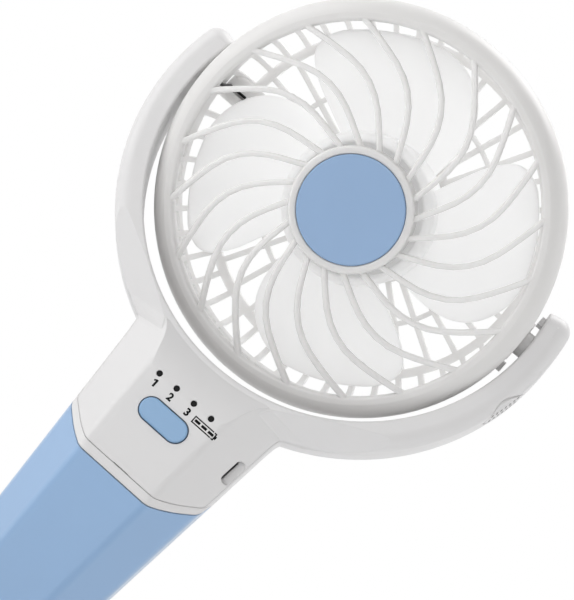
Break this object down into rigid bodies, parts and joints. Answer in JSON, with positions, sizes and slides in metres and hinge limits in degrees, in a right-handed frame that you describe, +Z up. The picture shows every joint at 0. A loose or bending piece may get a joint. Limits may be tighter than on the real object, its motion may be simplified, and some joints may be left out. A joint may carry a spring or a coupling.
{
  "type": "handheld_fan",
  "caption": "Rechargeable handheld fan: caged four-blade head tilting in a C-shaped white yoke on a tapered blue handle with a power button and charge lights.",
  "frame": {"origin": "centre of the handle's flat bottom face, which it stands on", "axes": "+Z up along the handle, +X to the right seen from the front, -Y out of the front of the fan, +Y to the back; the head is stored as pictured, its front turned down by 23.6 degrees"},
  "size_m": [0.1314, 0.0722, 0.2337],
  "materials": {
    "white_plastic": "satin, faint mould texture",
    "blade_plastic": "satin",
    "blue_plastic": "satin",
    "blue_gloss": "gloss",
    "screw_steel": "plated",
    "black_plastic": "matte",
    "switch_tip": "matte",
    "board_green": "solder mask",
    "smoked_guide": "smoked, dark while off",
    "led_clear": "clear resin",
    "can_silver": "bare",
    "cell_wrap": "shrink sleeve",
    "nickel": "nickel strip",
    "red_insulation": "insulation",
    "black_insulation": "insulation",
    "friction_rubber": "matte",
    "magnet_grey": "matte",
    "bronze": "sintered",
    "copper": "enamelled wire"
  },
  "bodies": {
    "housing": {"housing_front": "white_plastic", "housing_back": "white_plastic", "collar_ring": "white_plastic", "handle_front": "blue_plastic", "handle_back": "blue_plastic", "arm_screw_1": "screw_steel", "arm_screw_2": "screw_steel", "arm_screw_3": "screw_steel", "arm_screw_4": "screw_steel", "neck_screw_1": "screw_steel", "neck_screw_2": "screw_steel", "handle_screw_1": "screw_steel", "handle_screw_2": "screw_steel", "switch_body": "black_plastic", "circuit_board": "board_green", "light_guide": "smoked_guide", "led_chip_1": "led_clear", "led_chip_2": "led_clear", "led_chip_3": "led_clear", "led_chip_4": "led_clear", "control_chip": "black_plastic", "inductor": "black_plastic", "capacitor": "can_silver", "charge_socket": "screw_steel", "battery_cell": "cell_wrap", "cell_tab_top": "nickel", "cell_tab_bottom": "nickel", "cell_lead_red": "red_insulation", "cell_lead_black": "black_insulation", "yoke_lead": "black_insulation", "friction_ring_left": "friction_rubber", "friction_ring_right": "friction_rubber"},
    "head": {"front_grille": "white_plastic", "hub_cap": "blue_gloss", "rear_grille": "white_plastic", "motor_cover": "white_plastic", "motor_can": "screw_steel", "magnet_left": "magnet_grey", "magnet_right": "magnet_grey", "bushing_front": "bronze", "bushing_rear": "bronze", "motor_end_cap": "black_plastic", "motor_terminal_1": "nickel", "motor_terminal_2": "nickel", "motor_screw_1": "screw_steel", "motor_screw_2": "screw_steel", "head_lead": "black_insulation"},
    "rotor": {"blade_rotor": "blade_plastic", "motor_shaft": "screw_steel", "armature_core": "magnet_grey", "armature_winding": "copper", "commutator": "copper"},
    "button": {"power_button": "blue_plastic", "switch_plunger": "switch_tip"}
  },
  "joints": [
    {"name": "head_tilt", "type": "hinge", "parent": "housing", "child": "head", "pos_m": [0, -0.0039, 0.18], "axis": [1, 0, 0], "range_deg": [-173.6, 126.4]},
    {"name": "rotor_spin", "type": "hinge", "parent": "head", "child": "rotor", "pos_m": [0, -0.0039, 0.18], "axis": [0, -0.9164, -0.4003], "continuous": true},
    {"name": "button_press", "type": "slide", "parent": "housing", "child": "button", "axis": [0, 1, 0], "range_m": [0, 0.0005], "stiffness_N_per_m": 3000, "springref_m": -0.0002}
  ]
}
